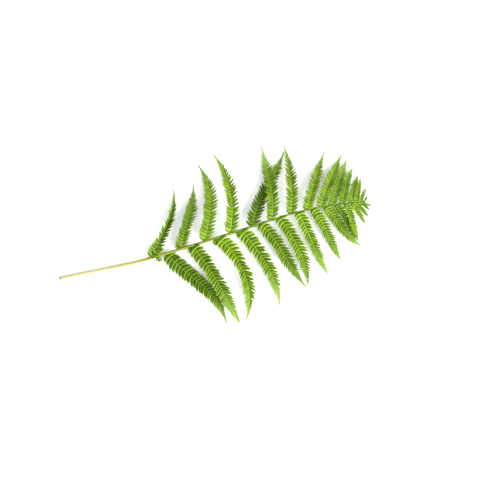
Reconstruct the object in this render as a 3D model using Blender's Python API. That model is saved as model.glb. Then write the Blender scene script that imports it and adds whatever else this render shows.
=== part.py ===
"""A cut bracken frond that lies on a table: a straw-coloured stipe and a green blade.

Metres, +Z up. +X runs along the stalk, from its cut end towards the frond's tip, and +Y is to its left.
The origin lies on the table, in the middle of the flat spot under the stipe's cut end.

The blade is the rachis with its pinnae, which stand on it alternately and in one plane. A pinna is one thin
arched blade, folded up along its midrib like a gutter and cut almost to the midrib into pinnules.
"""

import math

import bpy
import numpy as np

MM = 0.001

# The stalk seen from above: where its middle runs, in millimetres.
STALK_PLAN = (
    (-20.0, 0.2),
    (0.0, 0.0),
    (69.0, -1.2),
    (105.0, 0.5),
    (150.0, 3.6),
    (195.0, 7.2),
    (235.0, 11.0),
    (272.0, 14.0),
    (300.0, 14.2),
    (330.0, 12.2),
    (357.0, 8.0),
    (370.0, 1.0),
)
STALK_START = -20.0
STALK_END = 362.0

# How high the stalk's middle runs: flat on the table, then up over the pinnae that prop it, then down.
FLAT_END = 20.0
CREST = 230.0
CREST_RISE = 13.0
TIP_DROP = 5.0

# How thick the stalk is.
STIPE_RADIUS = 2.05
RACHIS_ROOT_RADIUS = 2.0
RACHIS_TIP_RADIUS = 0.45
RACHIS_TAPER = 1.3
STIPE_SIDES = 10
STIPE_BEND_RINGS = 8
RACHIS_SIDES = 8
RACHIS_RINGS = 16
RACHIS_RING_POWER = 1.5
SHARP_ANGLE = 50.0

# The cut end leans, and a step this long on either side of a place gives the stalk's direction there.
CUT_SLANT = 0.7
NEAR = 0.5

# Straw turns to green just under the lowest pinna. The stipe and the rachis are apart by a hair there.
BLADE_START = 84.0
NODE_GAP = 0.3

# One row for each pinna, up to the frond's tip: where it stands on the stalk (its x), its length, its heading
# from +X at the root, how far it turns in its lower and in its upper half, how steeply its two leafy halves
# fold up, how far it is rolled towards the frond's tip, the height of its own tip over the table, and the
# slope at which it leaves the rachis. Millimetres and degrees.
LEFT_PINNAE = (
    (93.0, 91.0, 44.0, 9.0, 31.0, 63.0, 9.0, 0.0, 4.0),
    (132.0, 80.0, 67.0, -8.0, 20.0, 30.0, 18.0, 0.0, 6.0),
    (161.0, 99.0, 59.0, 17.0, 40.0, 22.0, 18.0, 0.0, 8.0),
    (194.0, 103.0, 64.0, 24.0, 27.0, 43.0, 13.0, 0.0, 10.0),
    (222.5, 100.0, 67.0, -22.0, 14.0, 32.0, 4.0, 0.0, -17.0),
    (247.0, 92.0, 68.0, 22.0, 0.0, 31.0, 9.0, 0.0, 16.0),
    (271.5, 85.0, 70.0, 13.0, 10.0, 35.0, 8.0, 0.0, 8.0),
    (291.5, 74.0, 64.0, -5.0, -1.0, 27.0, 12.0, 0.0, 6.0),
    (308.5, 71.0, 64.0, -13.0, 4.0, 31.0, 12.0, 0.0, 6.0),
    (322.0, 59.0, 62.0, -4.0, -4.0, 34.0, 12.0, 1.0, 7.0),
    (334.5, 47.0, 67.0, -3.0, -21.0, 32.0, 12.0, 3.0, 12.0),
    (345.0, 35.0, 68.0, -5.0, -12.0, 30.0, 12.0, 6.0, 12.0),
    (351.5, 30.0, 69.0, -2.0, -5.0, 50.0, 13.0, 8.0, 12.0),
    (356.0, 19.0, 59.0, -5.0, 0.0, 45.0, 9.0, 9.0, 12.0),
    (359.5, 11.0, 46.0, 2.0, -4.0, 39.0, 5.0, 10.0, 10.0),
)
RIGHT_PINNAE = (
    (113.0, 116.0, -57.0, 6.0, -39.0, 30.0, 5.0, 0.0, -8.0),
    (146.5, 107.0, -62.0, -12.0, -1.0, 40.0, 7.0, 0.0, 9.0),
    (180.0, 115.0, -53.0, -30.0, -39.0, 46.0, 8.0, 0.0, 4.0),
    (208.0, 107.0, -58.0, -16.0, -22.0, 40.0, 7.0, 0.0, 4.0),
    (233.5, 96.0, -58.0, -16.0, 11.0, 36.0, 9.0, 0.0, 0.0),
    (257.0, 96.0, -66.0, -11.0, -27.0, 35.0, 9.0, 2.0, 8.0),
    (281.0, 86.0, -77.0, -2.0, 6.0, 36.0, 10.0, 0.0, 5.0),
    (298.5, 72.0, -66.0, -11.0, 3.0, 26.0, 10.0, 0.0, 4.0),
    (314.5, 65.0, -65.0, -1.0, 22.0, 26.0, 10.0, 0.0, -6.0),
    (327.0, 52.0, -62.0, -12.0, 4.0, 33.0, 13.0, 3.0, 5.0),
    (339.0, 44.0, -75.0, -14.0, 12.0, 46.0, 8.0, 8.0, 15.0),
    (347.5, 29.0, -69.0, -2.0, -1.0, 38.0, 15.0, 6.0, 2.0),
    (353.0, 21.0, -66.0, 4.0, 0.0, 41.0, 12.0, 6.5, 0.0),
    (358.0, 13.0, -53.0, 1.0, -1.0, 39.0, 8.0, 8.5, 4.0),
)
# The frond's own tip is cut like a small pinna that goes straight on from the rachis.
LEADER_LENGTH = 10.0
LEADER_FOLD = 30.0
LEADER_ROOT = 2.0
LEADER_DROP = 1.5
LEADER_SLOPE = -4.0

# The width of a pinna's leafy halves: a full-sized one's, how it goes with the length, and its share along the
# midrib, for long pinnae that end in a thread and for short blunt ones. The halves fold up less near the root.
FULL_LENGTH = 100.0
FULL_HALF_WIDTH = 9.6
WIDTH_POWER = 0.75
WIDTHS_ALONG = (
    (0.0, 0.88),
    (0.15, 1.0),
    (0.5, 1.0),
    (0.6, 0.88),
    (0.7, 0.64),
    (0.78, 0.4),
    (0.86, 0.2),
    (0.93, 0.1),
    (1.0, 0.04),
)
BLUNT_WIDTHS_ALONG = (
    (0.0, 0.88),
    (0.15, 1.0),
    (0.5, 1.0),
    (0.7, 0.88),
    (0.8, 0.7),
    (0.9, 0.42),
    (1.0, 0.1),
)
BLUNT_BELOW = 25.0
POINTED_ABOVE = 65.0
ROOT_FLATNESS = 0.55
FLAT_ROOT = 0.35
BARE_ROOT = 1.3
LAST_PINNULE = 0.90
TIP_SLOPE = -6.0

# The pinnules: how their pairs go with a pinna's length, their lean towards the tip, and their blunt ends.
PAIRS_FACTOR = 1.12
PAIRS_POWER = 0.58
PITCH_POWER = 1.2
ROOT_LEAN = 8.0
TIP_LEAN = 40.0
SHOULDER_OUT = 0.90
SHOULDER_ALONG = 0.10
POINT_ALONG = 0.74

# The blade is thin, with a flat rib along the middle of each pinna, deeper than the leafy halves.
THICKNESS = 0.7
RIB_DEPTH = 0.6
RIB_THINNING = 0.7
RIB_HALF_WIDTH = 1.0
RIB_TIP_HALF_WIDTH = 0.35
STEPS_ALONG = 120

STRAW = (0.72, 0.58, 0.22, 1.0)
LEAF_GREEN = (0.23, 0.42, 0.04, 1.0)


def smooth_line(knots, x):
    """y at x on a smooth curve through the knots: a Catmull-Rom spline over uneven steps."""
    xs = [k[0] for k in knots]
    ys = [k[1] for k in knots]
    slopes = []
    for i in range(len(knots)):
        before = max(i - 1, 0)
        after = min(i + 1, len(knots) - 1)
        slopes.append((ys[after] - ys[before]) / (xs[after] - xs[before]))
    i = min(max(np.searchsorted(xs, x) - 1, 0), len(knots) - 2)
    step = xs[i + 1] - xs[i]
    t = (x - xs[i]) / step
    return (
        ys[i] * (1 - 3 * t**2 + 2 * t**3)
        + ys[i + 1] * (3 * t**2 - 2 * t**3)
        + slopes[i] * step * (t - 2 * t**2 + t**3)
        + slopes[i + 1] * step * (t**3 - t**2)
    )


def stalk_height(x):
    lying = STIPE_RADIUS * math.cos(math.pi / STIPE_SIDES)
    climb = min(max((x - FLAT_END) / (CREST - FLAT_END), 0.0), 1.0)
    fall = max((x - CREST) / (STALK_END - CREST), 0.0)
    return lying + CREST_RISE * 0.5 * (1 - math.cos(math.pi * climb)) - TIP_DROP * fall**2


def stalk_middle(x):
    return np.array((x, smooth_line(STALK_PLAN, x), stalk_height(x)))


def stalk_radius(x):
    if x <= FLAT_END:
        return STIPE_RADIUS
    if x <= BLADE_START:
        share = (x - FLAT_END) / (BLADE_START - FLAT_END)
        return STIPE_RADIUS + (RACHIS_ROOT_RADIUS - STIPE_RADIUS) * share
    share = (x - BLADE_START) / (STALK_END - BLADE_START)
    return RACHIS_ROOT_RADIUS + (RACHIS_TIP_RADIUS - RACHIS_ROOT_RADIUS) * share**RACHIS_TAPER


def unit(vector):
    return vector / np.linalg.norm(vector)


def frame_along(direction):
    """Unit vectors along, to the right and up, for something that runs in this direction."""
    along = unit(direction)
    right = unit(np.cross(along, (0.0, 0.0, 1.0)))
    return along, right, np.cross(right, along)


def mesh_object(name, points, faces, material):
    mesh = bpy.data.meshes.new(name)
    mesh.from_pydata([tuple(float(c) * MM for c in p) for p in points], [], faces)
    mesh.materials.append(material)
    obj = bpy.data.objects.new(name, mesh)
    bpy.context.scene.collection.objects.link(obj)
    return obj


def stalk_piece(name, xs, sides, material, slant=0.0):
    """A closed round tube round the stalk's middle, with a flat side down. slant leans its first end face."""
    points = []
    for ring, x in enumerate(xs):
        middle = stalk_middle(x)
        along, right, up = frame_along(stalk_middle(x + NEAR) - stalk_middle(x - NEAR))
        radius = stalk_radius(x)
        for k in range(sides):
            angle = 2 * math.pi * (k + 0.5) / sides - math.pi / 2
            lean = slant * radius * math.sin(angle) if ring == 0 else 0.0
            points.append(middle + radius * (math.cos(angle) * right + math.sin(angle) * up) + lean * along)
    faces = [tuple(range(sides)), tuple(reversed(range(len(points) - sides, len(points))))]
    for ring in range(len(xs) - 1):
        for k in range(sides):
            a = ring * sides + k
            b = ring * sides + (k + 1) % sides
            faces.append((b, a, a + sides, b + sides))
    stalk = mesh_object(name, points, faces, material)
    stalk.data.shade_smooth()
    stalk.data.set_sharp_from_angle(angle=math.radians(SHARP_ANGLE))
    return stalk


def thick_sheet(name, upper, lower, triangles, material):
    """A closed thin solid between two like sheets: the lower sheet is triangulated as the upper one is."""
    count = len(upper)
    faces = list(triangles)
    faces += [(c + count, b + count, a + count) for a, b, c in triangles]
    edges = {(t[i], t[(i + 1) % 3]) for t in triangles for i in range(3)}
    for a, b in sorted(edges):
        if (b, a) not in edges:
            faces.append((b, a, a + count))
            faces.append((b, a + count, b + count))
    return mesh_object(name, list(upper) + list(lower), faces, material)


class Midrib:
    """The line that a pinna's midrib follows, with a frame at each place along it, t from 0 to 1."""

    def __init__(self, root, length, heading, turns, tip_height, root_slope):
        t = np.linspace(0.0, 1.0, STEPS_ALONG + 1)
        turned = turns[0] * np.minimum(2 * t, 1.0) + turns[1] * np.maximum(2 * t - 1.0, 0.0)
        headings = np.radians(heading + turned)
        middles = (headings[1:] + headings[:-1]) / 2
        step = length / STEPS_ALONG
        xs = root[0] + np.concatenate(([0.0], np.cumsum(np.cos(middles)) * step))
        ys = root[1] + np.concatenate(([0.0], np.cumsum(np.sin(middles)) * step))
        start = length * math.tan(math.radians(root_slope))
        end = length * math.tan(math.radians(TIP_SLOPE))
        zs = (
            root[2] * (1 - 3 * t**2 + 2 * t**3)
            + tip_height * (3 * t**2 - 2 * t**3)
            + start * (t - 2 * t**2 + t**3)
            + end * (t**3 - t**2)
        )
        self.steps = t
        self.line = np.stack((xs, ys, zs), axis=1)
        self.length = length

    def place(self, t):
        return np.array([np.interp(t, self.steps, self.line[:, k]) for k in range(3)])

    def frame(self, t):
        near = 1.0 / STEPS_ALONG
        return frame_along(self.place(min(t + near, 1.0)) - self.place(max(t - near, 0.0)))


def width_share(t, length):
    """How wide a pinna is at t, as a share of its widest. Long pinnae end in a thread, short ones are blunter."""
    pointed = min(max((length - BLUNT_BELOW) / (POINTED_ABOVE - BLUNT_BELOW), 0.0), 1.0)
    thread = np.interp(t, [w[0] for w in WIDTHS_ALONG], [w[1] for w in WIDTHS_ALONG])
    blunt = np.interp(t, [w[0] for w in BLUNT_WIDTHS_ALONG], [w[1] for w in BLUNT_WIDTHS_ALONG])
    return float(blunt + (thread - blunt) * pointed)


def pinna(name, midrib, folds, material):
    """One pinna: a thin solid whose two halves fold up from a flat rib, each cut to the rib into pinnules.

    folds holds how steeply the right and the left half rise, in degrees.
    """
    length = midrib.length
    size = (length / FULL_LENGTH) ** WIDTH_POWER
    pairs = round(PAIRS_FACTOR * length**PAIRS_POWER)
    first = BARE_ROOT * stalk_radius(midrib.place(0.0)[0]) / length
    left_to_go = [(1 - j / pairs) ** PITCH_POWER for j in range(pairs + 1)]
    stations = [LAST_PINNULE - (LAST_PINNULE - first) * share for share in left_to_go]
    ends = [0.0] + stations + [(LAST_PINNULE + 1) / 2, 1.0]
    half_thick = THICKNESS / 2
    rib_root = max(RIB_HALF_WIDTH * size, RIB_TIP_HALF_WIDTH)

    upper, lower, triangles = [], [], []

    def add(point, above, below):
        upper.append(point + above)
        lower.append(point - below)
        return len(upper) - 1

    def rib(t):
        return rib_root + (RIB_TIP_HALF_WIDTH - rib_root) * t

    def on_rib(side, t):
        right, up = midrib.frame(t)[1:]
        depth = RIB_DEPTH * min(1.0, size) * (1 - RIB_THINNING * t)
        return add(midrib.place(t) + side * rib(t) * right, up * half_thick, up * (half_thick + depth))

    def on_half(side, t, out, ahead):
        """A point of the right (+1) or left (-1) half: this far out from the rib's side, and ahead."""
        along, right, up = midrib.frame(t)
        flatter = 1 - ROOT_FLATNESS * max(1 - t / FLAT_ROOT, 0.0)
        fold = math.radians((folds[0] if side > 0 else folds[1]) * flatter)
        outward = side * math.cos(fold) * right + math.sin(fold) * up
        facing = math.cos(fold) * up - side * math.sin(fold) * right
        point = midrib.place(t) + side * rib(t) * right + out * outward + ahead * along
        return add(point, facing * half_thick, facing * half_thick)

    def cover(side, *corners):
        """Triangles from the first corner to the rest, which run forwards on the right half."""
        for b, c in zip(corners[1:], corners[2:]):
            triangles.append((corners[0], b, c) if side > 0 else (corners[0], c, b))

    rights = [on_rib(1, t) for t in ends]
    lefts = [on_rib(-1, t) for t in ends]
    for i in range(len(ends) - 1):
        cover(1, rights[i], rights[i + 1], lefts[i + 1], lefts[i])
    for side, edge in ((1, rights), (-1, lefts)):
        for j in range(pairs):
            centre = (stations[j] + stations[j + 1]) / 2
            pitch = (stations[j + 1] - stations[j]) * length
            reach = max(FULL_HALF_WIDTH * size * width_share(centre, length) - rib(centre), THICKNESS)
            lean = math.tan(math.radians(ROOT_LEAN + (TIP_LEAN - ROOT_LEAN) * centre**2))
            out = SHOULDER_OUT * reach
            shoulder = on_half(side, centre, out, (SHOULDER_ALONG - 0.5) * pitch + lean * out)
            point = on_half(side, centre, reach, (POINT_ALONG - 0.5) * pitch + lean * reach)
            cover(side, edge[j + 1], shoulder, point, edge[j + 2])
    on_table = [np.maximum(p, (-np.inf, -np.inf, 0.0)) for p in lower]
    return thick_sheet(name, upper, on_table, triangles, material)


def pinna_on_stalk(name, row, side, material):
    """A pinna of the tables above. side is +1 on the stalk's left and -1 on its right."""
    x, length, heading, low_turn, high_turn, fold, roll, tip_height, root_slope = row
    turns = (low_turn, high_turn)
    midrib = Midrib(stalk_middle(x), length, heading, turns, tip_height + THICKNESS / 2, root_slope)
    towards_tip, towards_stipe = fold - roll, fold + roll
    folds = (towards_tip, towards_stipe) if side > 0 else (towards_stipe, towards_tip)
    return pinna(name, midrib, folds, material)


def leader(name, material):
    """The frond's own cut tip, which starts inside the rachis's end."""
    start = STALK_END - LEADER_ROOT
    root = stalk_middle(start)
    ahead = stalk_middle(STALK_END) - root
    heading = math.degrees(math.atan2(ahead[1], ahead[0]))
    midrib = Midrib(root, LEADER_LENGTH, heading, (0.0, 0.0), root[2] - LEADER_DROP, LEADER_SLOPE)
    return pinna(name, midrib, (LEADER_FOLD, LEADER_FOLD), material)


def leaf_material(name, colour, roughness):
    material = bpy.data.materials.new(name)
    material.use_nodes = True
    shader = material.node_tree.nodes["Principled BSDF"]
    shader.inputs["Base Color"].default_value = colour
    shader.inputs["Roughness"].default_value = roughness
    shader.inputs["Metallic"].default_value = 0.0
    return material


def fuse(body, pieces):
    """Joins the pieces to the body by one Boolean union on their collection, and removes them."""
    group = bpy.data.collections.new("pinnae")
    for piece in pieces:
        bpy.context.scene.collection.objects.unlink(piece)
        group.objects.link(piece)
    bpy.context.scene.collection.children.link(group)
    union = body.modifiers.new("pinnae", "BOOLEAN")
    union.operation = "UNION"
    union.solver = "MANIFOLD"
    union.operand_type = "COLLECTION"
    union.collection = group
    bpy.context.view_layer.update()
    fused = bpy.data.meshes.new_from_object(body.evaluated_get(bpy.context.evaluated_depsgraph_get()))
    body.modifiers.clear()
    body.data = fused
    fused.name = body.name
    for piece in pieces:
        bpy.data.objects.remove(piece)
    bpy.data.collections.remove(group)


def main():
    for obj in list(bpy.data.objects):
        bpy.data.objects.remove(obj)
    straw = leaf_material("straw", STRAW, 0.45)
    green = leaf_material("leaf_green", LEAF_GREEN, 0.5)

    stipe_end = BLADE_START - NODE_GAP
    stipe_xs = [STALK_START] + list(np.linspace(FLAT_END, stipe_end, STIPE_BEND_RINGS + 1))
    stalk_piece("stipe", stipe_xs, STIPE_SIDES, straw, slant=CUT_SLANT)

    rest_of_way = 1 - np.linspace(0.0, 1.0, RACHIS_RINGS)
    rachis_xs = list(STALK_END - (STALK_END - BLADE_START) * rest_of_way**RACHIS_RING_POWER)
    blade = stalk_piece("blade", rachis_xs, RACHIS_SIDES, green)
    pieces = [leader("leader", green)]
    for side, rows in ((1, LEFT_PINNAE), (-1, RIGHT_PINNAE)):
        pieces += [pinna_on_stalk(f"pinna_{side}_{i}", row, side, green) for i, row in enumerate(rows)]
    fuse(blade, pieces)


main()
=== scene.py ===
import math
import random

import bpy
import numpy as np
from mathutils import Matrix, Vector


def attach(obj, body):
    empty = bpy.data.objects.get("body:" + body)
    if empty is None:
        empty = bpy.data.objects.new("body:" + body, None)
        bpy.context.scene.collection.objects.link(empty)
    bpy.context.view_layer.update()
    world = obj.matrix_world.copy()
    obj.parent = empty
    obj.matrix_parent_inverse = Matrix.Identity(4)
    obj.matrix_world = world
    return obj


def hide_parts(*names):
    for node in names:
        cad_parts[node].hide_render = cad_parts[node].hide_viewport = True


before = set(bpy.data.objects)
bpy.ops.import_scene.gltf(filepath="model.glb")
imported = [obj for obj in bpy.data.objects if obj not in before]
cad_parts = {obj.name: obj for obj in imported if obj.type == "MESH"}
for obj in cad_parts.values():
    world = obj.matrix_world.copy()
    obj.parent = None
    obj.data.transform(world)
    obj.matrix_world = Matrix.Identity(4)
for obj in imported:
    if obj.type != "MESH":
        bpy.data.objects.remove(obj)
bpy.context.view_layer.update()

MM = 0.001

# The stalk seen from above: where its middle runs, in millimetres.
STALK_PLAN = (
    (-20.0, 0.2),
    (0.0, 0.0),
    (69.0, -1.2),
    (105.0, 0.5),
    (150.0, 3.6),
    (195.0, 7.2),
    (235.0, 11.0),
    (272.0, 14.0),
    (300.0, 14.2),
    (330.0, 12.2),
    (357.0, 8.0),
    (370.0, 1.0),
)
STALK_START = -20.0
STALK_END = 362.0

# It lies flat up to FLAT_END, arches up to its crest and comes down a little towards the frond's tip.
FLAT_END = 20.0
CREST = 230.0
CREST_RISE = 13.0
TIP_DROP = 5.0

# Its thickness: the bare stipe's, and the rachis's, which tapers from where the green begins.
STIPE_RADIUS = 2.0
RACHIS_ROOT_RADIUS = 1.95
RACHIS_TIP_RADIUS = 0.4
RACHIS_TAPER = 1.3
GREEN_FROM = 84.0
STALK_STEPS = 90
STALK_SIDES = 16

# The groove in the rachis: what stands more than GROOVE_LINE radii above its middle is pressed down.
GROOVE_DEPTH = 0.35
GROOVE_END = 300.0
GROOVE_LINE = 0.97

# The cut at the lower end: its slant, the spare length that it takes off, and how straight out of the cut a
# face has to look to be part of it.
CUT_SLANT = 0.7
CUT_SPARE = 3.0
CUT_FACING = 0.95

# One row for each pinna, from the lowest up: where it stands on the stalk (its x), its length, its heading
# from +X at the root, how far it turns in its lower and in its upper half, how steeply its two leafy halves
# fold up, how far it is rolled towards the frond's tip, the height of its own tip over the table, the slope
# at which it leaves the rachis, and from 0 to 1 how fresh its green is, how blunt its end and how pale its
# tip. Millimetres and degrees.
LEFT_PINNAE = (
    (93.0, 91.0, 44.0, 9.0, 31.0, 60.0, 7.0, 0.0, 4.0, 0.55, 0.0, 0.2),
    (132.0, 80.0, 67.0, -8.0, 20.0, 30.0, 18.0, 0.0, 6.0, 0.4, 0.0, 0.0),
    (161.0, 99.0, 59.0, 17.0, 40.0, 22.0, 18.0, 0.0, 8.0, 0.66, 0.0, 0.0),
    (194.0, 103.0, 64.0, 24.0, 27.0, 40.0, 13.0, 0.0, 10.0, 1.0, 0.0, 0.2),
    (222.5, 100.0, 67.0, -22.0, 14.0, 32.0, 4.0, 0.0, -17.0, 0.2, 0.0, 0.1),
    (247.0, 92.0, 68.0, 22.0, 0.0, 31.0, 9.0, 0.0, 16.0, 0.54, 0.0, 0.8),
    (271.5, 85.0, 70.0, 13.0, 10.0, 35.0, 8.0, 0.0, 8.0, 0.7, 0.0, 0.4),
    (291.5, 74.0, 64.0, -5.0, -1.0, 33.0, 3.0, 0.0, 6.0, 0.74, 0.0, 0.0),
    (308.5, 71.0, 64.0, -13.0, 4.0, 34.0, 5.0, 0.0, 6.0, 0.74, 0.0, 0.0),
    (322.0, 59.0, 62.0, -4.0, -4.0, 20.0, 14.0, 1.0, 7.0, 0.45, 0.4, 0.5),
    (334.5, 47.0, 67.0, -3.0, -21.0, 20.0, 4.0, 3.0, 12.0, 0.5, 0.6, 0.3),
    (345.0, 35.0, 68.0, -5.0, -12.0, 13.0, 9.0, 6.0, 12.0, 0.55, 0.8, 0.0),
    (351.5, 30.0, 69.0, -2.0, -5.0, 21.0, 3.0, 8.0, 12.0, 0.6, 0.9, 0.0),
    (356.0, 19.0, 59.0, -5.0, 0.0, 24.0, 0.0, 9.0, 12.0, 0.6, 1.0, 0.5),
    (359.5, 11.0, 46.0, 2.0, -4.0, 39.0, 5.0, 10.0, 10.0, 0.4, 1.0, 0.3),
)
RIGHT_PINNAE = (
    (113.0, 116.0, -57.0, 6.0, -39.0, 30.0, 5.0, 0.0, -8.0, 0.1, 0.0, 0.1),
    (146.5, 111.0, -62.0, -12.0, -2.0, 40.0, 7.0, 0.0, 9.0, 0.3, 0.6, 1.0),
    (180.0, 115.0, -53.0, -30.0, -39.0, 46.0, 8.0, 0.0, 4.0, 0.65, 0.0, 0.6),
    (208.0, 107.0, -58.0, -16.0, -22.0, 40.0, 7.0, 0.0, 4.0, 0.46, 0.0, 1.0),
    (233.5, 96.0, -58.0, -16.0, 11.0, 36.0, 9.0, 0.0, 0.0, 0.3, 0.0, 0.0),
    (257.0, 96.0, -66.0, -11.0, -27.0, 35.0, 9.0, 2.0, 8.0, 0.42, 0.0, 0.0),
    (281.0, 86.0, -77.0, -2.0, 6.0, 36.0, 10.0, 0.0, 5.0, 0.64, 0.15, 0.7),
    (298.5, 72.0, -66.0, -11.0, 3.0, 26.0, 10.0, 0.0, 4.0, 0.44, 0.35, 0.1),
    (314.5, 65.0, -65.0, -1.0, 22.0, 26.0, 10.0, 0.0, -6.0, 0.42, 0.4, 0.4),
    (327.0, 52.0, -62.0, -12.0, 4.0, 33.0, 13.0, 3.0, 5.0, 0.2, 0.5, 0.0),
    (339.0, 44.0, -75.0, -14.0, 12.0, 36.0, 12.0, 8.0, 15.0, 0.65, 0.65, 0.2),
    (347.5, 29.0, -69.0, -2.0, -1.0, 30.0, 8.0, 6.0, 2.0, 0.6, 0.95, 0.3),
    (353.0, 21.0, -66.0, 4.0, 0.0, 34.0, 4.0, 6.5, 0.0, 0.5, 1.0, 0.0),
    (358.0, 13.0, -53.0, 1.0, -1.0, 39.0, 8.0, 8.5, 4.0, 0.3, 1.0, 0.0),
)

# The small lobed leaflets at the feet of the lower pinnae: x, length, heading, fold, breadth and freshness.
BASAL_LOBES = (
    (98.0, 14.0, 50.0, 8.0, 2.6, 0.25),
    (101.0, 7.5, -62.0, 14.0, 2.2, 0.3),
    (129.0, 7.0, 80.0, 10.0, 2.8, 0.35),
    (143.0, 7.0, -80.0, 12.0, 2.6, 0.3),
    (175.0, 8.0, -75.0, 12.0, 2.6, 0.4),
    (203.0, 6.0, -70.0, 12.0, 2.6, 0.4),
)
LOBE_PAIRS = 3
LOBE_RISE = 0.5
LOBE_SLOPE = 16.0

# The frond's own tip, which grows on from the rachis like a small pinna.
FROND_TIP_FRESH = 0.45
FROND_TIP_LENGTH = 10.0
FROND_TIP_FOLD = 30.0
FROND_TIP_ROOT = 2.0
FROND_TIP_DROP = 1.5
FROND_TIP_SLOPE = -4.0

# The basal lobes and the frond's tip don't turn. How blunt they are, and how pale at their ends.
STRAIGHT = (0.0, 0.0)
BLUNT_END = (1.0, 0.0)

# Where the lowest pinna stands, as a share of the stalk's length.
FIRST_JOINT = (LEFT_PINNAE[0][0] - STALK_START) / (STALK_END - STALK_START)

# The line of a midrib: the slope at its own tip, how far that tip lies above the height in its row, and its
# steps.
TIP_SLOPE = -6.0
TIP_LIFT = 0.35
MIDRIB_STEPS = 120

# The width of a pinna's leafy halves: a full-sized one's, how it goes with the length, and its share along
# the midrib, from the root to a tip like a thread or to a blunt one.
FULL_LENGTH = 100.0
FULL_HALF_WIDTH = 9.6
WIDTH_POWER = 0.66
WIDTHS_ALONG = (
    (0.0, 0.88),
    (0.15, 1.0),
    (0.5, 1.0),
    (0.6, 0.9),
    (0.7, 0.7),
    (0.78, 0.46),
    (0.86, 0.23),
    (0.93, 0.1),
    (1.0, 0.04),
)
BLUNT_WIDTHS_ALONG = (
    (0.0, 0.88),
    (0.15, 1.0),
    (0.5, 1.0),
    (0.7, 0.88),
    (0.8, 0.7),
    (0.9, 0.42),
    (1.0, 0.1),
)

# The four kinds of pinnule, each modelled once in this size: how far the end bends sideways, and the share of
# the width at each row from the base to the end.
PINNULE_WIDTH = 4.4
PINNULE_LENGTH = 10.0
PINNULE_COLUMNS = 4
PINNULES = {
    "full": (2.0, (1.12, 1.13, 1.12, 1.09, 1.02, 0.84, 0.3)),
    "rounded": (1.3, (1.1, 1.12, 1.11, 1.08, 1.02, 0.9, 0.52)),
    "toothed": (2.0, (1.1, 1.11, 1.09, 1.05, 0.95, 0.75, 0.22)),
    "slender": (2.0, (1.1, 1.07, 1.03, 0.95, 0.83, 0.62, 0.18)),
}

# How far a pinnule's end droops, and how far its columns are pressed down, from the grooved middle to the
# margin. The base has the share FLAT_BASE of that, and the full depth begins at ROLLED_FROM of the length.
END_DROP = 1.0
COLUMN_DROPS = (0.25, 0.16, 0.95)
FLAT_BASE = 0.3
ROLLED_FROM = 0.55

# Up to which pinna, counted from the root, a kind of pinnule is used. pinna_kinds says for which halves.
LAST_SLENDER = 7
LAST_ROUNDED_LEFT = 2
LAST_FULL_LEFT = 4
LAST_ROUNDED_RIGHT = 4

# How the pinnules stand on a midrib: pairs for each root of its length, how they crowd towards its tip, where
# the last one ends, their lean towards the tip at its two ends in degrees, and their least reach in widths.
PAIRS_PER_ROOT = 3.0
PITCH_POWER = 1.36
LAST_PINNULE = 0.99
ROOT_LEAN = 11.0
TIP_LEAN = 46.0
LEAST_REACH = 0.55

# The fold is less near the root, up to FLAT_ROOT of the length, and near the tip. ADDED_FOLD goes on top.
ROOT_FLATNESS = 0.55
FLAT_ROOT = 0.35
TIP_FLATNESS = 0.3
ADDED_FOLD = 3.0

# What differs by chance from pinnule to pinnule, and the ripple of the fold along a pinna, in degrees.
SEED = 7
REACH_SPREAD = (0.88, 1.06)
LEAN_SPREAD = 5.0
FOLD_SPREAD = 6.0
RIPPLE = 4.0
RIPPLE_WAVES = 1.5

# The first pinnules stand clear of the stalk below COVERED_FROM, and lie over it above. Their start and their
# rise at the root are in stalk radii, and they come down to LEAST_RISE over RISE_LENGTH.
COVERED_FROM = 215.0
BARE_ROOT = 0.6
COVERING_ROOT = -0.8
RISE_AT_ROOT = 1.0
RISE_LENGTH = 9.0
LEAST_RISE = 0.25

# A pinnule's thickness, and the midrib's rod.
LEAF_THICKNESS = 0.26
RIB_RADIUS = 0.5
RIB_TIP_RADIUS = 0.18
RIB_TAPER = 0.8
RIB_LIFT = 0.15
RIB_STEPS = 28
RIB_SIDES = 8
LEAST_RIB_SIZE = 0.35

# The table, in metres: its top lies just below the frond.
TABLE_TOP = -0.0001
TABLE_SIZE = 12.0
TABLE_MIDDLE = 0.2
TABLE_COLOUR = (0.93, 0.93, 0.94, 1.0)

# The photograph is taken from straight above: how wide a pixel is in millimetres, how far the photograph's
# right-hand side is turned from +X, the pixels of its middle and of the stalk's cut end, and the lens and the
# sensor's width.
PIXEL = 1.22
PHOTO_TURN = math.radians(12.9)
PHOTO_MIDDLE = (240.0, 240.0)
CUT_END_PIXEL = (60.0, 278.7)
LENS = 85.0
SENSOR = 36.0

# The key lamp: its bearing from the photograph's right-hand side, its elevation, distance, size and power,
# and the place that it is aimed at. The sky is white.
KEY_BEARING = -32.0
KEY_ELEVATION = 38.0
KEY_DISTANCE = 1.6
KEY_SIZE = 1.2
KEY_POWER = 68.0
KEY_AIM = (0.21, 0.0, 0.0)
SKY_STRENGTH = 1.25


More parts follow.
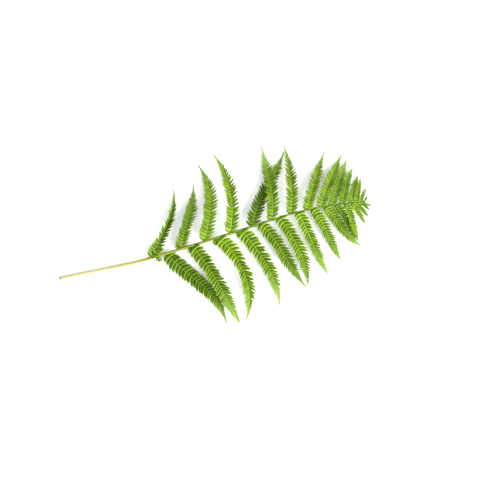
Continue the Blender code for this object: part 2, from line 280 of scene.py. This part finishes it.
class Value:
    """A shader socket that can be added, subtracted and multiplied like a number."""

    def __init__(self, tree, socket):
        self.tree = tree
        self.socket = socket

    def maths(self, operation, *others, flip=False):
        node = self.tree.nodes.new("ShaderNodeMath")
        node.operation = operation
        terms = [self, *others]
        if flip:
            terms.reverse()
        for slot, term in zip(node.inputs, terms):
            if isinstance(term, Value):
                self.tree.links.new(term.socket, slot)
            else:
                slot.default_value = term
        return Value(self.tree, node.outputs[0])

    def __add__(self, other):
        return self.maths("ADD", other)

    __radd__ = __add__

    def __sub__(self, other):
        return self.maths("SUBTRACT", other)

    def __rsub__(self, other):
        return self.maths("SUBTRACT", other, flip=True)

    def __mul__(self, other):
        return self.maths("MULTIPLY", other)

    __rmul__ = __mul__

    def size(self):
        return self.maths("ABSOLUTE")

    def part(self):
        return self.maths("FRACT")

    def at_least(self, other):
        return self.maths("MAXIMUM", other)


class Finish:
    """A material with its Principled shader, and one way to add any node."""

    def __init__(self, name, **inputs):
        self.material = bpy.data.materials.new(name)
        self.material.use_nodes = True
        self.tree = self.material.node_tree
        self.shader = self.tree.nodes["Principled BSDF"]
        self.fill(self.shader, **inputs)

    def fill(self, node, **inputs):
        """Sets or links a node's inputs: by name, with _ for a space, or by place, with a key such as in3."""
        for key, value in inputs.items():
            by_place = key.startswith("in") and key[2:].isdigit()
            socket = node.inputs[int(key[2:]) if by_place else key.replace("_", " ")]
            if isinstance(value, Value):
                self.tree.links.new(value.socket, socket)
            elif isinstance(value, bpy.types.NodeSocket):
                self.tree.links.new(value, socket)
            else:
                socket.default_value = value

    def node(self, kind, settings=None, **inputs):
        """Adds a node, with its settings first and then its inputs."""
        node = self.tree.nodes.new(kind)
        for key, value in (settings or {}).items():
            setattr(node, key, value)
        self.fill(node, **inputs)
        return node

    def value(self, socket):
        return Value(self.tree, socket)

    def attribute(self, name):
        return self.value(self.node("ShaderNodeAttribute", {"attribute_name": name}).outputs["Fac"])

    def mix(self, share, first, second):
        """A colour between two, by a share from 0 to 1."""
        node = self.node("ShaderNodeMix", {"data_type": "RGBA"}, in0=share, in6=first, in7=second)
        return node.outputs[2]

    def noise(self, scale, detail=2.0):
        place = self.node("ShaderNodeTexCoord").outputs["Object"]
        node = self.node("ShaderNodeTexNoise", Vector=place, Scale=scale, Detail=detail)
        return self.value(node.outputs["Fac"])

    def ramp(self, value, low, high):
        """0 below low, 1 above high, and smooth between them."""
        node = self.node(
            "ShaderNodeMapRange",
            {"interpolation_type": "SMOOTHSTEP"},
            Value=value,
            From_Min=low,
            From_Max=high,
        )
        return self.value(node.outputs["Result"])

    def bump(self, height, strength, distance):
        node = self.node("ShaderNodeBump", Height=height, Strength=strength, Distance=distance)
        self.fill(self.shader, Normal=node.outputs["Normal"])


def colour(red, green, blue):
    """A colour from its sRGB values, 0 to 255, in the linear values that a shader takes."""
    return tuple(((c / 255 + 0.055) / 1.055) ** 2.4 for c in (red, green, blue)) + (1.0,)


def leaf_finish():
    """Pinnules: green, with a painted highlight along the front margin and at the end of each pinnule,
    painted shade behind it and in the crease by the midrib, and pale or dry at a pinna's tip.
    """
    leaf = Finish("fern leaf", Specular_IOR_Level=0.08)
    across = leaf.attribute("across")
    along = leaf.attribute("along")
    share = leaf.attribute("share")
    tone = leaf.attribute("tone")
    fresh = leaf.attribute("fresh")
    # Each green is a little darker towards the pinnule's base by the midrib: painted shade of the crease
    # there.
    outer = leaf.ramp(along, 0.0, 0.7)
    deep = leaf.mix(outer, colour(50, 75, 0), colour(57, 84, 0))
    bright = leaf.mix(outer, colour(97, 125, 10), colour(115, 143, 28))
    body = leaf.mix(fresh, deep, bright)
    young = leaf.mix(leaf.ramp(share, 0.5, 1.0) * 0.8, body, colour(98, 126, 20))
    mottle = leaf.ramp(leaf.noise(420.0) * 0.5 + tone * 0.5, 0.3, 0.75)
    mottled = leaf.mix((1 - mottle) * 0.55, young, colour(40, 70, 0))
    # Painted shade in the crease along the midrib, laid on less fresh pinnae only.
    valley_shade = 1 - leaf.ramp(along, 0.0, 0.4)
    # Painted highlight: the front margin and the end of each pinnule are lighter, as where they catch the
    # light.
    front_highlight = leaf.ramp(across, 0.14, 0.4).at_least(leaf.ramp(along, 0.72, 1.0) * 0.75)
    # Painted shade behind each pinnule, in the slits between it and the next: deeper towards the pinnules'
    # outer ends, and weaker towards the pinna's tip.
    slit_shade = leaf.ramp(along, 0.1, 0.5) * 0.55 + 0.45
    back_shade = leaf.ramp(across * -1.0, 0.12, 0.42) * slit_shade * (0.88 - leaf.ramp(share, 0.45, 0.85) * 0.5)
    # The dark green of the painted shade, behind the pinnules and in the midrib's crease.
    with_painted_shade = leaf.mix(back_shade.at_least(valley_shade * (1 - fresh) * 0.4), mottled, colour(24, 46, 0))
    # The painted highlight's light green, mixed in more strongly on fresh pinnae.
    with_painted_highlight = leaf.mix(front_highlight * (0.36 + fresh * 0.48), with_painted_shade, colour(152, 187, 58))
    pale = leaf.ramp(share, 0.5, 1.0) * leaf.attribute("pale")
    tipped = leaf.mix(pale * 0.65, with_painted_highlight, colour(134, 162, 68))
    dry = leaf.mix(leaf.ramp(share, 0.92, 1.0) * 0.5, tipped, colour(132, 122, 36))
    turned = leaf.mix(leaf.attribute("under") * 0.7, dry, colour(104, 130, 66))
    leaf.fill(leaf.shader, Base_Color=turned, Roughness=0.45 + leaf.noise(900.0) * 0.14)
    veins = ((along * 7.0 - across.size() * 5.0).part() - 0.5).size()
    vein = 1 - leaf.ramp(veins, 0.0, 0.16)
    middle = 1 - leaf.ramp(across.size(), 0.0, 0.07)
    leaf.bump(vein * 0.5 - middle + leaf.noise(1500.0) * 0.6, 0.25, 0.0002)
    return leaf.material


def rib_finish():
    """The midribs: smooth and paler than the leaf, paler on fresh pinnae, partly as painted light, and paler
    still at a pale tip.
    """
    rib = Finish("fern midrib", Roughness=0.45)
    share = rib.attribute("share")
    green = rib.mix(rib.ramp(share, 0.4, 0.9), colour(100, 130, 10), colour(98, 126, 14))
    # On fresh pinnae the rib is lighter: partly its own paler green, partly painted light where it lies in
    # the shade between the folded halves.
    fresher_and_lit = rib.mix(rib.attribute("fresh") * 0.8, green, colour(142, 170, 40))
    pale = rib.ramp(share, 0.5, 1.0) * rib.attribute("pale")
    rib.fill(rib.shader, Base_Color=rib.mix(pale * 0.65, fresher_and_lit, colour(146, 172, 78)))
    return rib.material


def stalk_finish():
    """The stalk: pale straw at the cut end, olive and then green along the rachis, darker on its left, partly
    its own brown and partly painted shade.
    """
    stalk = Finish("fern stalk", Roughness=0.45, Specular_IOR_Level=0.25)
    share = stalk.attribute("share")
    left = stalk.attribute("left")
    streaks = stalk.noise(260.0, 4.0)
    straw = stalk.mix(stalk.ramp(share, 0.1, 0.26), colour(164, 160, 112), colour(150, 144, 84))
    olive = stalk.mix(stalk.ramp(share, 0.23, 0.31), straw, colour(116, 128, 38))
    fresh = stalk.mix(stalk.ramp(share, 0.42, 0.56), olive, colour(90, 114, 8))
    # The stalk's left side is darker: partly its own brown, partly painted shade on the side away from the
    # light.
    left_brown_and_shade = stalk.ramp(left + (streaks - 0.5) * 0.6, -0.1, 0.7)
    lined = stalk.mix(left_brown_and_shade * (0.12 + stalk.ramp(share, 0.24, 0.36) * 0.3), fresh, colour(104, 98, 44))
    # A dark brown line on the left of the rachis's middle stretch, partly painted shade.
    brown_line_and_shade = left_brown_and_shade * stalk.ramp(share, 0.36, 0.44) * (1 - stalk.ramp(share, 0.47, 0.58))
    dark = stalk.mix(brown_line_and_shade * 0.5, lined, colour(56, 44, 12))
    joint = 1 - stalk.ramp((share - FIRST_JOINT).size(), 0.004, 0.02)
    stalk.fill(stalk.shader, Base_Color=stalk.mix(joint * left_brown_and_shade * 0.7, dark, colour(112, 58, 20)))
    stalk.bump(streaks, 0.15, 0.0003)
    return stalk.material


def pith_finish():
    """The cut face: pale pith with darker strands."""
    pith = Finish("cut pith", Roughness=0.7)
    strands = pith.ramp(pith.noise(1500.0), 0.45, 0.65)
    pith.fill(pith.shader, Base_Color=pith.mix(strands, colour(176, 170, 128), colour(136, 116, 66)))
    return pith.material


def choose(*pieces):
    """Selects these pieces alone, and makes the first of them the active one."""
    for piece in bpy.context.selected_objects:
        piece.select_set(False)
    for piece in pieces:
        piece.select_set(True)
    bpy.context.view_layer.objects.active = pieces[0]


def edit(piece):
    """Opens a piece in edit mode, with nothing selected."""
    choose(piece)
    bpy.ops.object.mode_set(mode="EDIT")
    bpy.ops.mesh.select_mode(type="VERT")
    bpy.ops.mesh.select_all(action="DESELECT")


def done():
    bpy.ops.object.mode_set(mode="OBJECT")


def pick(piece, test):
    """Selects the vertices whose place passes the test, in a piece that is in edit mode."""
    bpy.ops.mesh.select_all(action="DESELECT")
    done()
    for vertex in piece.data.vertices:
        vertex.select = test(vertex.co)
    bpy.ops.object.mode_set(mode="EDIT")


def join(pieces, name):
    """Joins pieces into the first of them, which gets the name."""
    choose(*pieces)
    bpy.ops.object.join()
    pieces[0].name = name
    pieces[0].data.name = name
    return pieces[0]


def paint(piece, name, values):
    """Stores one number for each vertex."""
    attribute = piece.data.attributes.new(name, "FLOAT", "POINT")
    attribute.data.foreach_set("value", np.asarray(values, dtype=np.float32))


def paint_evenly(piece, **numbers):
    """Stores the same number for all vertices, under each name."""
    for name, number in numbers.items():
        paint(piece, name, np.full(len(piece.data.vertices), number))


def metres(point):
    return Vector([float(c) * MM for c in point])


def model_pinnule(name, sickle, row_widths):
    """One pinnule, lying along +Y from its base at the origin.

    It is an oblong leaflet, bent like a sickle, with a grooved middle and margins that roll down.
    """
    rows = len(row_widths) - 1
    bpy.ops.mesh.primitive_grid_add(
        x_subdivisions=PINNULE_COLUMNS,
        y_subdivisions=rows,
        size=1.0,
        location=(0.0, 0.5, 0.0),
    )
    leaflet = bpy.context.object
    leaflet.name = name
    choose(leaflet)
    bpy.ops.object.transform_apply(location=True, rotation=False, scale=False)
    coords = np.array([v.co for v in leaflet.data.vertices])
    paint(leaflet, "across", coords[:, 0])
    paint(leaflet, "along", coords[:, 1])
    edit(leaflet)
    for row, width in enumerate(row_widths):
        along = row / rows
        pick(leaflet, lambda co: round(co.y * rows) == row)
        bpy.ops.transform.resize(value=(width, 1.0, 1.0))
        bpy.ops.transform.translate(value=(sickle / PINNULE_WIDTH * along**2, 0.0, -END_DROP * along**2))
    half = PINNULE_COLUMNS // 2
    for row in range(rows + 1):
        rolled = min(FLAT_BASE + (1 - FLAT_BASE) * row / rows / ROLLED_FROM, 1.0)
        for column in range(-half, half + 1):
            pick(leaflet, lambda co: grid_place(co, sickle, row_widths) == (column, row))
            bpy.ops.transform.translate(value=(0.0, 0.0, -COLUMN_DROPS[abs(column)] * rolled))
    bpy.ops.mesh.select_all(action="SELECT")
    bpy.ops.transform.resize(
        value=(PINNULE_WIDTH * MM, PINNULE_LENGTH * MM, MM),
        center_override=(0.0, 0.0, 0.0),
    )
    done()
    leaflet.data.shade_smooth()
    return leaflet


def grid_place(co, sickle, row_widths):
    """Which column and row of the bent grid a point of the pinnule is in. Column 0 is the middle."""
    rows = len(row_widths) - 1
    row = round(co.y * rows)
    middle = sickle / PINNULE_WIDTH * (row / rows) ** 2
    return round((co.x - middle) / row_widths[row] * PINNULE_COLUMNS), row


def bend(t, start, end, start_slope, end_slope):
    """A smooth way from start to end, t from 0 to 1, that leaves and arrives at the slopes given."""
    return (
        start * (1 - 3 * t**2 + 2 * t**3)
        + end * (3 * t**2 - 2 * t**3)
        + start_slope * (t - 2 * t**2 + t**3)
        + end_slope * (t**3 - t**2)
    )


def smooth_line(knots, x):
    """y at x on a smooth curve through the knots. At a knot it runs like the line between its neighbours."""
    xs, ys = zip(*knots)
    slopes = []
    for i in range(len(knots)):
        before = max(i - 1, 0)
        after = min(i + 1, len(knots) - 1)
        slopes.append((ys[after] - ys[before]) / (xs[after] - xs[before]))
    i = min(max(np.searchsorted(xs, x) - 1, 0), len(knots) - 2)
    step = xs[i + 1] - xs[i]
    return bend((x - xs[i]) / step, ys[i], ys[i + 1], slopes[i] * step, slopes[i + 1] * step)


def stalk_height(x):
    climb = min(max((x - FLAT_END) / (CREST - FLAT_END), 0.0), 1.0)
    fall = max((x - CREST) / (STALK_END - CREST), 0.0)
    return STIPE_RADIUS + CREST_RISE * 0.5 * (1 - math.cos(math.pi * climb)) - TIP_DROP * fall**2


def stalk_middle(x):
    return np.array((x, smooth_line(STALK_PLAN, x), stalk_height(x)))


def stalk_radius(x):
    if x <= GREEN_FROM:
        share = max(x - FLAT_END, 0.0) / (GREEN_FROM - FLAT_END)
        return STIPE_RADIUS + (RACHIS_ROOT_RADIUS - STIPE_RADIUS) * share
    share = (x - GREEN_FROM) / (STALK_END - GREEN_FROM)
    return RACHIS_ROOT_RADIUS + (RACHIS_TIP_RADIUS - RACHIS_ROOT_RADIUS) * share**RACHIS_TAPER


def frame_along(direction):
    """Unit vectors along, to the right and up, for something that runs in this direction."""
    along = direction / np.linalg.norm(direction)
    right = np.cross(along, (0.0, 0.0, 1.0))
    right = right / np.linalg.norm(right)
    return along, right, np.cross(right, along)


class Midrib:
    """The line that a pinna's midrib follows, with a frame at each place along it, t from 0 to 1."""

    def __init__(self, root, length, heading, turns, tip_height, root_slope):
        t = np.linspace(0.0, 1.0, MIDRIB_STEPS + 1)
        turned = turns[0] * np.minimum(2 * t, 1.0) + turns[1] * np.maximum(2 * t - 1.0, 0.0)
        headings = np.radians(heading + turned)
        middles = (headings[1:] + headings[:-1]) / 2
        step = length / MIDRIB_STEPS
        xs = root[0] + np.concatenate(([0.0], np.cumsum(np.cos(middles)) * step))
        ys = root[1] + np.concatenate(([0.0], np.cumsum(np.sin(middles)) * step))
        leaving = length * math.tan(math.radians(root_slope))
        ending = length * math.tan(math.radians(TIP_SLOPE))
        zs = bend(t, root[2], tip_height, leaving, ending)
        self.steps = t
        self.line = np.stack((xs, ys, zs), axis=1)
        self.length = length
        self.root_x = root[0]
        self.stalk_radius = stalk_radius(min(root[0], STALK_END))

    def place(self, t):
        return np.array([np.interp(t, self.steps, self.line[:, k]) for k in range(3)])

    def frame(self, t):
        near = 1.0 / MIDRIB_STEPS
        return frame_along(self.place(min(t + near, 1.0)) - self.place(max(t - near, 0.0)))


def width_share(t, bluntness):
    """How wide a pinna is at t, as a share of its widest: one that ends in a thread, or a blunter one."""
    thread = np.interp(t, *zip(*WIDTHS_ALONG))
    blunt = np.interp(t, *zip(*BLUNT_WIDTHS_ALONG))
    return float(thread + (blunt - thread) * bluntness)


def tube(name, points, radii, sides, material):
    """A round tapering rod along the points, closed at its ends, made from a curve with a bevel."""
    curve = bpy.data.curves.new(name, "CURVE")
    curve.dimensions = "3D"
    curve.twist_mode = "Z_UP"
    curve.bevel_depth = 1.0
    curve.bevel_resolution = (sides - 4) // 2
    curve.use_fill_caps = True
    spline = curve.splines.new("POLY")
    spline.points.add(len(points) - 1)
    for knot, point, radius in zip(spline.points, points, radii):
        knot.co = (*metres(point), 1.0)
        knot.radius = float(radius) * MM
    rod = bpy.data.objects.new(name, curve)
    bpy.context.scene.collection.objects.link(rod)
    choose(rod)
    bpy.ops.object.convert(target="MESH")
    rod = bpy.context.object
    rod.data.materials.clear()
    rod.data.materials.append(material)
    rod.data.shade_smooth()
    return rod


def pinnule_stations(midrib, pairs):
    """The places along the midrib between which the pinnules stand, closer together towards its tip."""
    clearance = BARE_ROOT if midrib.root_x < COVERED_FROM else COVERING_ROOT
    first = clearance * midrib.stalk_radius / midrib.length
    left_to_go = [(1 - j / pairs) ** PITCH_POWER for j in range(pairs + 1)]
    return [LAST_PINNULE - (LAST_PINNULE - first) * share for share in left_to_go]


def pinnule_matrix(midrib, side, centre, width, reach, lean, fold):
    """Sets a pinnule of this width and reach on one side of the midrib. Its lean and fold are in degrees."""
    fold = math.radians(fold)
    along, right, up = midrib.frame(centre)
    outward = side * math.cos(fold) * right + math.sin(fold) * up
    facing = math.cos(fold) * up - side * math.sin(fold) * right
    outward = outward + math.tan(math.radians(lean)) * along
    wide = width / PINNULE_WIDTH
    long = reach / PINNULE_LENGTH
    columns = (along * wide, outward * long, facing * math.sqrt(wide * long))
    matrix = Matrix([[float(c[row]) for c in columns] for row in range(3)]).to_4x4()
    rise = RISE_AT_ROOT * midrib.stalk_radius * (1 - max(centre, 0.0) * midrib.length / RISE_LENGTH)
    matrix.translation = metres(midrib.place(centre) + max(rise, LEAST_RISE) * facing)
    return matrix


def set_leaflet(template, matrix, **numbers):
    """A copy of the pinnule with its own mesh, moved to its place and painted with its numbers."""
    copy = template.copy()
    copy.data = template.data.copy()
    copy.data.transform(matrix)
    if matrix.determinant() < 0:
        copy.data.flip_normals()
    bpy.context.scene.collection.objects.link(copy)
    paint_evenly(copy, **numbers)
    return copy


def thicken(blade, material):
    """Gives flat pinnules their thickness, downwards, and marks the underside that this adds."""
    blade.data.materials.clear()
    blade.data.materials.append(material)
    wall = blade.modifiers.new("thickness", "SOLIDIFY")
    wall.thickness = LEAF_THICKNESS * MM
    wall.offset = -1.0
    upper = len(blade.data.vertices)
    choose(blade)
    bpy.ops.object.modifier_apply(modifier=wall.name)
    paint(blade, "under", np.arange(len(blade.data.vertices)) >= upper)


def build_midrib(name, midrib, size, material, **numbers):
    """The rod along a midrib's line, a little above it."""
    steps = np.linspace(0.0, 1.0, RIB_STEPS)
    above = np.array((0.0, 0.0, RIB_LIFT))
    thickness = max(size, LEAST_RIB_SIZE)
    radii = [thickness * (RIB_RADIUS + (RIB_TIP_RADIUS - RIB_RADIUS) * t**RIB_TAPER) for t in steps]
    rod = tube(name, [midrib.place(t) + above for t in steps], radii, RIB_SIDES, material)
    count = len(rod.data.vertices)
    paint(rod, "share", np.resize(np.repeat(steps, count // RIB_STEPS), count))
    paint_evenly(rod, **numbers)
    return rod


def build_pinna(name, midrib, folds, looks, kinds, finishes, chance, breadth=1.0, pairs=None):
    """One pinna: its pinnules set along both sides of the midrib, given a thickness, and the midrib itself.

    folds holds how steeply the right and the left half rise, in degrees, kinds the pinnule of each, and looks
    how fresh, how blunt and how pale at its tip the pinna is.
    """
    fresh, bluntness, pale = looks
    leaf, rib = finishes
    size = (midrib.length / FULL_LENGTH) ** WIDTH_POWER
    stations = pinnule_stations(midrib, pairs or round(PAIRS_PER_ROOT * math.sqrt(midrib.length)))
    wave = chance.uniform(0.0, 2 * math.pi)
    leaflets = []
    for side, steepness, kind in zip((1, -1), folds, kinds):
        for start, end in zip(stations, stations[1:]):
            centre = (start + end) / 2
            width = (end - start) * midrib.length
            half_width = FULL_HALF_WIDTH * size * breadth * width_share(centre, bluntness)
            reach = max(half_width, LEAST_REACH * width) * chance.uniform(*REACH_SPREAD)
            lean = ROOT_LEAN + (TIP_LEAN - ROOT_LEAN) * centre**2 + chance.uniform(-LEAN_SPREAD, LEAN_SPREAD)
            ripple = RIPPLE * math.sin(2 * math.pi * RIPPLE_WAVES * centre + wave)
            ripple += chance.uniform(-FOLD_SPREAD, FOLD_SPREAD)
            flatter = 1 - TIP_FLATNESS * centre**2 - ROOT_FLATNESS * max(1 - centre / FLAT_ROOT, 0.0)
            fold = steepness * flatter + ADDED_FOLD + ripple
            matrix = pinnule_matrix(midrib, side, centre, width, reach, lean, fold)
            tone = chance.random()
            leaflets.append(set_leaflet(kind, matrix, share=centre, tone=tone, fresh=fresh, pale=pale))
    blade = join(leaflets, name)
    thicken(blade, leaf)
    rod = build_midrib(name + "_midrib", midrib, size, rib, fresh=fresh, pale=pale)
    return join([blade, rod], name)


def pinna_kinds(side, number):
    """Which pinnules the right and the left half of a pinna have, seen along it from its root."""
    if side < 0:
        return ("rounded", "rounded") if number <= LAST_ROUNDED_RIGHT else ("full", "toothed")
    towards_tip = "slender" if number <= LAST_SLENDER else "toothed"
    if number <= LAST_ROUNDED_LEFT:
        return towards_tip, "rounded"
    return towards_tip, "full" if number <= LAST_FULL_LEFT else "toothed"


def build_pinnae(pinnules, finishes, chance):
    """The side leaves of the frond's left, and then of its right."""
    made = []
    for side, word, rows in ((1, "left", LEFT_PINNAE), (-1, "right", RIGHT_PINNAE)):
        for number, row in enumerate(rows, 1):
            x, length, heading, low_turn, high_turn, fold, roll, tip_height, root_slope, *looks = row
            turns = (low_turn, high_turn)
            line = Midrib(stalk_middle(x), length, heading, turns, tip_height + TIP_LIFT, root_slope)
            folds = (fold - side * roll, fold + side * roll)
            kinds = [pinnules[kind] for kind in pinna_kinds(side, number)]
            name = f"pinna_{word}_{number}"
            made.append(build_pinna(name, line, folds, looks, kinds, finishes, chance))
    return made


def build_basal_lobes(pinnules, finishes, chance):
    """The small lobed leaflets at the feet of the lower pinnae."""
    kinds = (pinnules["rounded"], pinnules["rounded"])
    made = []
    for number, (x, length, heading, fold, breadth, fresh) in enumerate(BASAL_LOBES, 1):
        root = stalk_middle(x)
        line = Midrib(root, length, heading, STRAIGHT, root[2] + LOBE_RISE, LOBE_SLOPE)
        folds = (fold, fold)
        looks = (fresh, *BLUNT_END)
        name = f"basal_lobes_{number}"
        made.append(build_pinna(name, line, folds, looks, kinds, finishes, chance, breadth, LOBE_PAIRS))
    return made


def build_frond_tip(pinnules, finishes, chance):
    """The frond's own tip, which carries on in the rachis's direction."""
    root = stalk_middle(STALK_END - FROND_TIP_ROOT)
    ahead = stalk_middle(STALK_END) - root
    heading = math.degrees(math.atan2(ahead[1], ahead[0]))
    line = Midrib(root, FROND_TIP_LENGTH, heading, STRAIGHT, root[2] - FROND_TIP_DROP, FROND_TIP_SLOPE)
    folds = (FROND_TIP_FOLD, FROND_TIP_FOLD)
    looks = (FROND_TIP_FRESH, *BLUNT_END)
    kinds = (pinnules["full"], pinnules["full"])
    return build_pinna("frond_tip", line, folds, looks, kinds, finishes, chance)


def build_blade(finishes):
    """All that grows from the rachis. Each piece stands for the blade's solid."""
    chance = random.Random(SEED)
    pinnules = {kind: model_pinnule(kind + "_pinnule", *shape) for kind, shape in PINNULES.items()}
    made = build_pinnae(pinnules, finishes, chance)
    made += build_basal_lobes(pinnules, finishes, chance)
    made.append(build_frond_tip(pinnules, finishes, chance))
    for template in pinnules.values():
        bpy.data.objects.remove(template)
    for piece in made:
        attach(piece, "root")
        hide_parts("blade")


def build_stalk(material, pith):
    """Stipe and rachis in one: a rod with a groove along its top and a slanting cut at its lower end."""
    xs = np.linspace(STALK_START - CUT_SPARE, STALK_END, STALK_STEPS)
    stalk = tube("stalk", [stalk_middle(x) for x in xs], [stalk_radius(x) for x in xs], STALK_SIDES, material)
    stalk.data.materials.append(pith)
    edit(stalk)
    pick(stalk, in_groove)
    bpy.ops.transform.translate(value=(0.0, 0.0, -GROOVE_DEPTH * MM))
    bpy.ops.mesh.select_all(action="SELECT")
    inwards = Vector((1.0, 0.0, -CUT_SLANT)).normalized()
    cut = metres(stalk_middle(STALK_START))
    bpy.ops.mesh.bisect(plane_co=cut, plane_no=inwards, use_fill=True, clear_inner=True)
    done()
    for face in stalk.data.polygons:
        if face.normal.dot(inwards) < -CUT_FACING:
            face.material_index = 1
            face.use_smooth = False
    coords = np.array([v.co for v in stalk.data.vertices]) / MM
    middles = np.array([stalk_middle(x) for x in coords[:, 0]])
    radii = np.array([stalk_radius(x) for x in coords[:, 0]])
    paint(stalk, "share", (coords[:, 0] - STALK_START) / (STALK_END - STALK_START))
    paint(stalk, "left", (coords[:, 1] - middles[:, 1]) / radii)
    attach(stalk, "root")
    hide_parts("stipe")


def in_groove(co):
    """Whether a point of the stalk is on the line along its top where the groove runs."""
    x, z = co.x / MM, co.z / MM
    return GREEN_FROM < x < GROOVE_END and z - stalk_height(x) > GROOVE_LINE * stalk_radius(x)


def build_floor():
    floor = Finish("white table", Roughness=0.9, Base_Color=TABLE_COLOUR)
    bpy.ops.mesh.primitive_plane_add(size=TABLE_SIZE, location=(TABLE_MIDDLE, 0.0, TABLE_TOP))
    table = bpy.context.object
    table.name = "table"
    bpy.ops.object.transform_apply(location=True, rotation=False, scale=False)
    table.data.materials.append(floor.material)


def on_table(pixel):
    """The place of a photograph's pixel on the table, in metres."""
    right = (pixel[0] - CUT_END_PIXEL[0]) * PIXEL
    up = (CUT_END_PIXEL[1] - pixel[1]) * PIXEL
    x = right * math.cos(PHOTO_TURN) + up * math.sin(PHOTO_TURN) + STALK_START
    y = up * math.cos(PHOTO_TURN) - right * math.sin(PHOTO_TURN)
    return x * MM, y * MM


def build_camera():
    """A camera straight above that sees as much of the table as the photograph does."""
    data = bpy.data.cameras.new("camera")
    data.lens = LENS
    data.sensor_width = SENSOR
    camera = bpy.data.objects.new("camera", data)
    bpy.context.scene.collection.objects.link(camera)
    x, y = on_table(PHOTO_MIDDLE)
    height = 2 * PHOTO_MIDDLE[0] * PIXEL * MM * LENS / SENSOR
    camera.location = (x, y, height)
    camera.rotation_euler = (0.0, 0.0, -PHOTO_TURN)
    bpy.context.scene.camera = camera


def build_key_lamp():
    """A square lamp to one side, aimed at the frond's middle."""
    data = bpy.data.lights.new("key", "AREA")
    data.shape = "SQUARE"
    data.size = KEY_SIZE
    data.energy = KEY_POWER
    lamp = bpy.data.objects.new("key", data)
    bpy.context.scene.collection.objects.link(lamp)
    turn = math.radians(KEY_BEARING) - PHOTO_TURN
    lift = math.radians(KEY_ELEVATION)
    away = Vector((math.cos(turn) * math.cos(lift), math.sin(turn) * math.cos(lift), math.sin(lift)))
    lamp.location = Vector(KEY_AIM) + away * KEY_DISTANCE
    lamp.rotation_euler = (-away).to_track_quat("-Z", "Y").to_euler()


def build_sky():
    world = bpy.data.worlds.new("studio")
    bpy.context.scene.world = world
    world.use_nodes = True
    sky = world.node_tree.nodes["Background"]
    sky.inputs["Color"].default_value = (1.0, 1.0, 1.0, 1.0)
    sky.inputs["Strength"].default_value = SKY_STRENGTH


def main():
    bpy.context.scene.view_settings.view_transform = "Standard"
    build_blade((leaf_finish(), rib_finish()))
    build_stalk(stalk_finish(), pith_finish())
    build_floor()
    build_camera()
    build_key_lamp()
    build_sky()


main()
